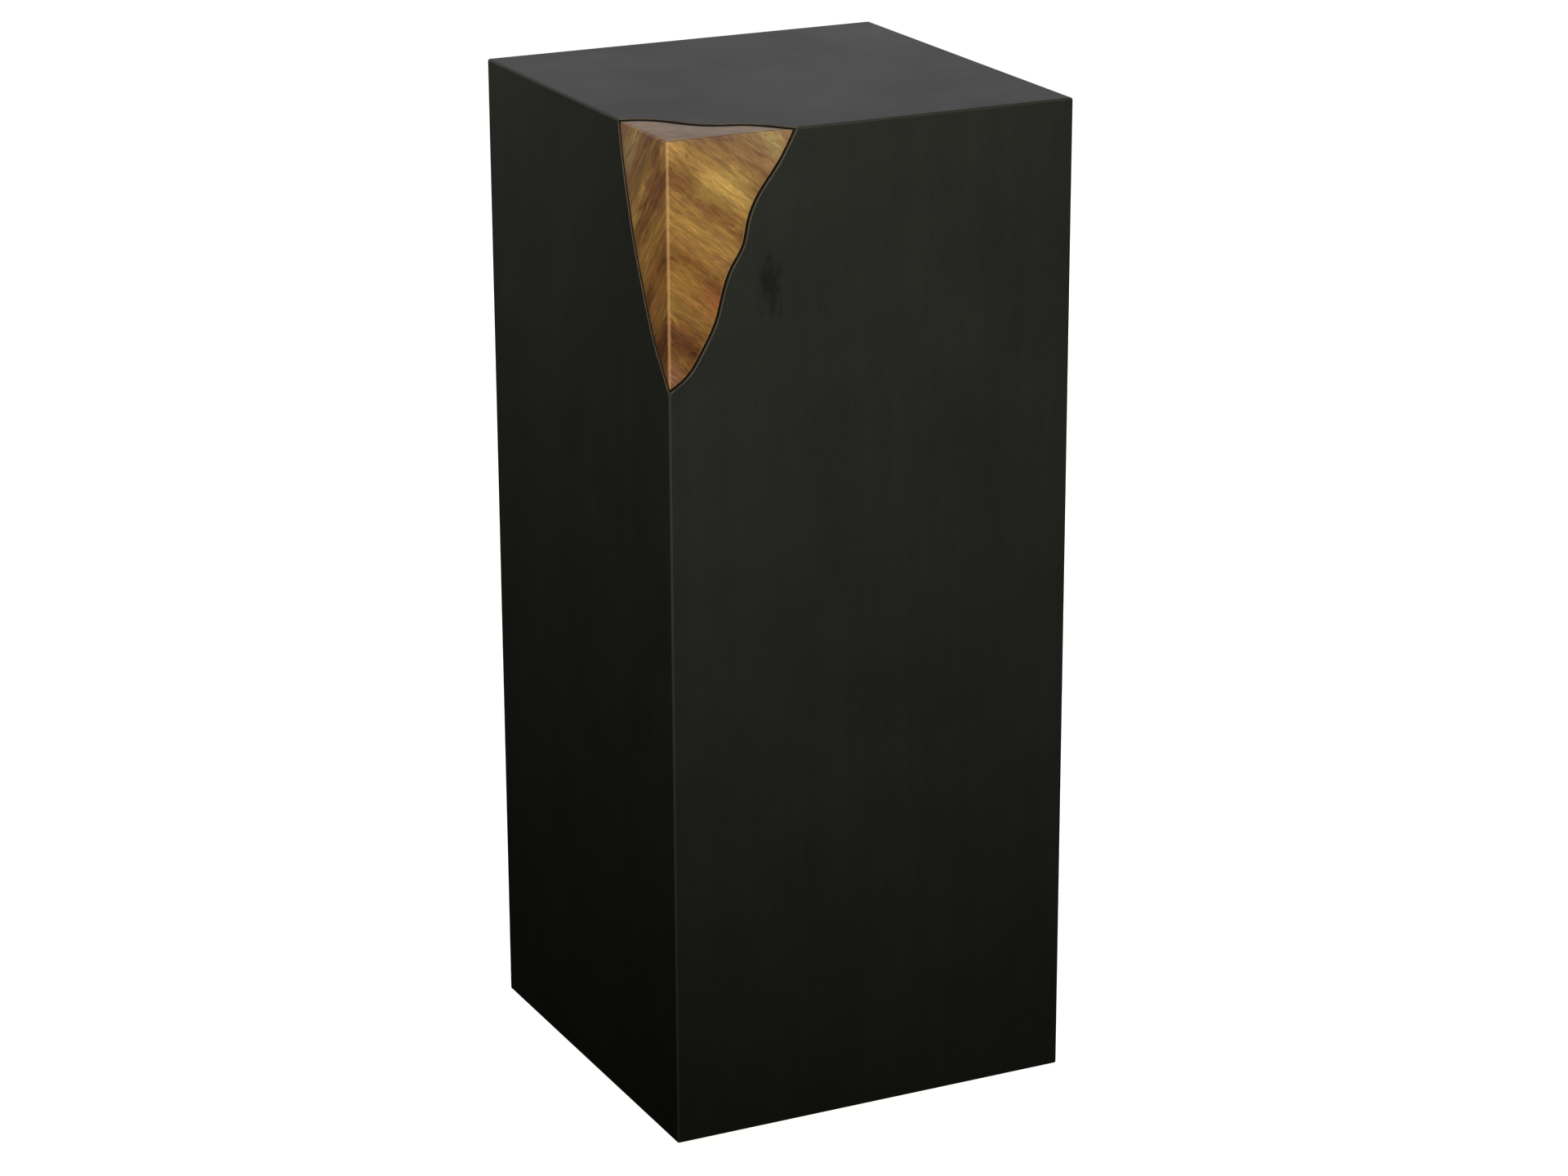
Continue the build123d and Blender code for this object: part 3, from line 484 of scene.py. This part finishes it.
def blockGrid():
    # rows run from the corner's tip over the skin, round the lip, down the cut wall and over the back to a pole.
    # skin = share of the ray from the tip, lip = quarter circle, wall = each coordinate at least the depth,
    # back = towards the inner corner up to the core's edge, and then to the middle of the core's sloping face
    loop, cosine = blockOutline()
    length = np.linalg.norm(loop, axis=1)
    lip, board, count = block["lip"], block["board"], block["perFace"]

    def pulled(offset):
        return loop * (1 - offset / (length * cosine))[:, None]

    def sunk(points, depth):
        # each face's run starts and ends where it comes out of its neighbours' depth, so no wall folds back on itself
        at = np.arange(count + 1)
        runs = []
        for face, (rising, falling) in enumerate(((2, 0), (1, 2), (0, 1))):
            run = np.take(points, face * count + at, axis=0, mode="wrap")
            first, last = np.take(depth[:, 0], [face * count, (face + 1) * count], mode="wrap")
            start, end = np.interp(first, run[:, rising], at), np.interp(-last, -run[:, falling], at)
            spread = start + (end - start) * at[:-1] / count
            runs.append(np.stack([np.interp(spread, at, run[:, axis]) for axis in range(3)], axis=1))
        return roundedBox(np.maximum(np.concatenate(runs), depth), depth)

    rows = []
    # each face's own fall, blended over a few points where the line passes an arris
    pillow = np.repeat(block["pillow"], block["perFace"])
    blend = np.hanning(block["blend"])
    pillow = np.convolve(np.tile(pillow, 3), blend / blend.sum(), "same")[len(pillow):2 * len(pillow)]
    edge = pulled(block["halfGap"] + lip)
    across, upFront, back, upSide = block["waves"]
    for share in (np.arange(1, block["skinRows"] + 1) / block["skinRows"]) ** block["skinSpread"]:
        spot = edge * share
        near = np.clip(1 - (1 - share) * length * cosine / block["pillowWidth"], 0, 1)
        wave = np.sin(spot[:, 0] / across + block["wavePhase"]) * np.sin(spot[:, 2] / upFront)
        wave = wave + np.sin(spot[:, 1] / back + spot[:, 2] / upSide)
        rows.append(sunk(spot, (pillow * near ** 2 + block["sanding"] * (2 + wave) / 4)[:, None]))
    pillow = (pillow + block["sanding"])[:, None]
    for angle in np.linspace(0, np.pi / 2, block["lipRows"])[1:]:
        rows.append(sunk(pulled(block["halfGap"] + lip * (1 - np.sin(angle))), pillow + lip * (1 - np.cos(angle))))
    for depth in np.linspace(pillow + lip, np.full_like(pillow, board), block["wallRows"])[1:]:
        rows.append(sunk(pulled(block["halfGap"]), depth))
    core = np.array(block["core"])
    tip = np.full(3, board)
    floor = rows[-1] - tip
    coreEdge = floor / (floor / core).sum(axis=1)[:, None]
    for share in np.linspace(0, 1, block["backRows"])[1:]:
        rows.append(tip + floor + (coreEdge - floor) * share)
    centre = tip + core / 3
    for share in np.linspace(0, 1, block["backRows"])[1:-1]:
        rows.append(tip + coreEdge + (centre - tip - coreEdge) * share)
    # 0 on the skin, rising to 1 along the lip, and then 1 to the end
    past = (np.arange(len(rows)) - block["skinRows"] + 1) / block["lipRows"] - block["cutStart"]
    cut = np.clip(past * block["cutRise"], 0, 1)
    return np.array(rows), cut, roundedBox(np.zeros((1, 3)), 0.0)[0], centre


def closedMesh(name, rows, firstPole, lastPole):
    # a tube of quads closed by a fan of triangles at each pole; it is turned inside out if its volume is negative
    count, around = rows.shape[:2]
    points = np.concatenate([rows.reshape(-1, 3), [firstPole, lastPole]])
    i, j = np.meshgrid(np.arange(count - 1), np.arange(around), indexing="ij")
    k = (j + 1) % around
    quads = np.stack([i * around + j, i * around + k, (i + 1) * around + k, (i + 1) * around + j], axis=-1)
    quads = quads.reshape(-1, 4)
    ring = np.arange(around)
    following = (ring + 1) % around
    first, last, base = count * around, count * around + 1, (count - 1) * around
    fans = np.concatenate([np.stack([np.full(around, first), following, ring], axis=1),
                           np.stack([np.full(around, last), base + ring, base + following], axis=1)])
    triangles = np.concatenate([quads[:, [0, 1, 2]], quads[:, [0, 2, 3]], fans])
    a, b, c = (points[triangles[:, side]] for side in range(3))
    if (a * np.cross(b, c)).sum() < 0:
        quads, fans = quads[:, ::-1], fans[:, ::-1]
    mesh = bpy.data.meshes.new(name)
    mesh.from_pydata(points, [], quads.tolist() + fans.tolist())
    mesh.validate()
    mesh.shade_smooth()
    mesh.set_sharp_from_angle(angle=math.radians(block["sharpAngle"]))
    return mesh


def makeCornerBlock():
    rows, cut, tip, centre = blockGrid()
    corner = np.array(block["corner"])
    signs = np.array([1, 1, -1])

    def placed(points):
        return (corner + signs * points) * mm

    mesh = closedMesh("wood_corner_block", placed(rows), placed(tip), placed(centre))
    attribute = mesh.attributes.new("cut", "FLOAT", "POINT")
    attribute.data.foreach_set("value", np.concatenate([np.repeat(cut, rows.shape[1]), [0, 1]]).astype(np.float32))
    piece = bpy.data.objects.new("wood_corner_block", mesh)
    bpy.context.scene.collection.objects.link(piece)
    piece.data.materials.append(oiledAcacia())
    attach(piece, "casing")
    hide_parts("corner_block")
    return piece


makeCornerBlock()
print("corner block made")


# finishes for the CAD nodes that stay as they are
def dress(material, *names):
    for name in names:
        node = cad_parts[name]
        for slot in node.material_slots:
            slot.material = material


corners = ["front_left", "front_right", "back_left", "back_right"]
dress(blackStainedWood("Z", "Y"), "front_wall", "back_wall")
dress(blackStainedWood("Z", "X"), "left_wall", "right_wall")
dress(blackStainedWood("X", "Z"), "top_panel")
dress(birchPlywood("Z"), "base_panel", "top_backer")
dress(birchPlywood("Y"), "front_backer", "mitre_spline_top_front", "mitre_spline_top_back",
      *["mitre_spline_" + c for c in corners])
dress(birchPlywood("X"), "left_backer", "mitre_spline_top_left", "mitre_spline_top_right")
dress(planedPine("X"), "base_cleat_front", "base_cleat_back", "top_cleat_front", "top_cleat_back")
dress(planedPine("Y"), "base_cleat_left", "base_cleat_right", "top_cleat_left", "top_cleat_right")
dress(planedPine("Z"), *["corner_batten_" + c for c in corners])
dress(zincPlatedSteel(), "base_screws", "base_cleat_screws", "top_cleat_screws", "backer_screws", "block_screws",
      "insert_nuts", *["foot_stud_" + c for c in corners])
dress(mouldedNylon(), *["foot_" + c for c in corners])
print("finishes set")


# a pale floor that curves up into a wall all round, seen by the camera only. It throws no light on the plinth,
# takes no shadow from it, and lies just below the feet at their longest
studio = {"radius": 7.0, "curve": 2.5, "wall": 5.0, "drop": 0.0185, "colour": "f7f7f6", "glow": 1.0,
          "rings": [0.5, 1.0, 2.0, 3.0], "curveRows": 17, "around": 72}


def makeFloor():
    # profile: flat out to the curve, a quarter circle, then straight up; turned about Z
    radius, curve, rings, around = studio["radius"], studio["curve"], studio["rings"], studio["around"]
    angle = np.linspace(0, np.pi / 2, studio["curveRows"])
    out = np.concatenate([rings, radius - curve + curve * np.sin(angle), [radius]])[:, None]
    up = np.concatenate([np.zeros(len(rings)), curve * (1 - np.cos(angle)), [studio["wall"]]])[:, None]
    turn = np.linspace(0, 2 * np.pi, around, endpoint=False)
    grid = np.stack([out * np.cos(turn), out * np.sin(turn), np.repeat(up, around, axis=1)], axis=-1)
    count = len(out)
    points = np.concatenate([grid.reshape(-1, 3), [[0, 0, 0]]])
    i, j = np.meshgrid(np.arange(count - 1), np.arange(around), indexing="ij")
    k = (j + 1) % around
    quads = np.stack([i * around + j, (i + 1) * around + j, (i + 1) * around + k, i * around + k], axis=-1)
    ring = np.arange(around)
    middle = np.stack([np.full(around, count * around), ring, (ring + 1) % around], axis=1)
    points[:, 2] -= studio["drop"]
    mesh = bpy.data.meshes.new("studio_floor")
    mesh.from_pydata(points, [], quads.reshape(-1, 4).tolist() + middle.tolist())
    mesh.shade_smooth()
    floor = bpy.data.objects.new("studio_floor", mesh)
    bpy.context.scene.collection.objects.link(floor)
    material, tree, _ = newMaterial("studio_floor")
    colour = hexColour(studio["colour"])
    matt = addNode(tree, "BsdfDiffuse", None, {"Color": colour})
    glow = addNode(tree, "Emission", None, {"Color": colour, "Strength": studio["glow"]})
    both = addNode(tree, "AddShader", None, {0: matt, 1: glow})
    addNode(tree, "OutputMaterial", None, {"Surface": both})
    mesh.materials.append(material)
    floor.visible_diffuse = False
    floor.visible_glossy = False
    floor.visible_shadow = False


# soft light: a wide-beamed key in front on the left that fades down the plinth, a panel overhead, a low
# panel behind whose gloss greys the top, a narrow one for the left side, and fills for the right and the underside
lights = {
    "key": {"kind": "SPOT", "place": (-0.95, -2.0, 1.45), "aim": (0, 0, 0.88), "size": 0.35, "cone": 53,
            "power": 230, "colour": "fffdf8"},
    "overhead": {"kind": "AREA", "place": (0, 0.3, 3), "aim": (0, 0, 0.4), "size": (2.4, 2.4), "power": 4,
                 "colour": "ffffff"},
    "behind": {"kind": "AREA", "place": (1.3, 2.9, 1.45), "aim": (0, 0, 0.8), "size": (3.4, 1.8), "power": 26.5,
               "colour": "fbfcff"},
    "side": {"kind": "SPOT", "place": (-1.1, 0.75, 1.35), "aim": (-0.17, 0.45, 1.05), "size": 0.3, "cone": 62,
             "power": 65, "colour": "fff3f6"},
    "right": {"kind": "AREA", "place": (2.6, 0.9, 1.2), "aim": (0, 0, 0.5), "size": (1.6, 1.6), "power": 19,
              "colour": "ffffff"},
    "below": {"kind": "AREA", "place": (0.4, 0.4, -1.5), "aim": (0, 0, 0), "size": (0.8, 0.8), "power": 16,
              "colour": "ffffff"},
}
room = {"below": 0.0, "horizon": 0.05, "zenith": 0.07, "edge": (0.47, 0.53)}  # grey levels, and where below ends


def makeLights():
    for name, light in lights.items():
        data = bpy.data.lights.new(name, light["kind"])
        data.energy, data.color = light["power"], hexColour(light["colour"])[:3]
        if light["kind"] == "SPOT":
            data.spot_size, data.spot_blend = math.radians(light["cone"]), 1.0
            data.shadow_soft_size = light["size"]
        else:
            data.shape = "RECTANGLE"
            data.size, data.size_y = light["size"]
        lamp = bpy.data.objects.new(name, data)
        lamp.location = light["place"]
        lamp.rotation_euler = (Vector(light["aim"]) - Vector(light["place"])).to_track_quat("-Z", "Y").to_euler()
        lamp.visible_camera = False
        bpy.context.scene.collection.objects.link(lamp)
    world = bpy.data.worlds.new("room")
    bpy.context.scene.world = world
    world.use_nodes = True
    tree = world.node_tree
    tree.nodes.clear()
    place = addNode(tree, "TexCoord")
    split = addNode(tree, "SeparateXYZ", None, {"Vector": place.outputs["Generated"]})
    rise = addNode(tree, "MapRange", None, {"Value": split.outputs["Z"], "From Min": -1.0})
    ramp = addNode(tree, "ValToRGB", None, {"Fac": rise})
    low, high = room["edge"]
    tones = [(0.0, room["below"]), (low, room["below"]), (high, room["horizon"]), (1.0, room["zenith"])]
    fillRamp(ramp, [(at, (tone, tone, tone, 1.0)) for at, tone in tones])
    sky = addNode(tree, "Background", None, {"Color": ramp})
    addNode(tree, "OutputWorld", None, {"Surface": sky})


# the camera stands front left at eye height. Angles are in degrees, the lens and its sensor in millimetres
view = {"place": (-1.45943, -3.00149, 1.49428), "azimuth": 26.04, "down": 18.37, "roll": -0.20,
        "lens": 100.24, "sensor": 36.0}


def makeCamera():
    azimuth, down, roll = (math.radians(view[key]) for key in ("azimuth", "down", "roll"))
    forward = np.array([math.sin(azimuth) * math.cos(down), math.cos(azimuth) * math.cos(down), -math.sin(down)])
    right = np.cross(forward, [0, 0, 1])
    right /= np.linalg.norm(right)
    up = np.cross(right, forward)
    right, up = math.cos(roll) * right + math.sin(roll) * up, math.cos(roll) * up - math.sin(roll) * right
    data = bpy.data.cameras.new("camera")
    data.sensor_width, data.lens = view["sensor"], view["lens"]
    camera = bpy.data.objects.new("camera", data)
    bpy.context.scene.collection.objects.link(camera)
    axes = np.stack([right, up, -forward], axis=1)
    camera.matrix_world = Matrix([[*axes[row], view["place"][row]] for row in range(3)] + [[0, 0, 0, 1]])
    bpy.context.scene.camera = camera


makeFloor()
makeLights()
makeCamera()
bpy.context.scene.view_settings.view_transform = "Standard"
print("studio set")
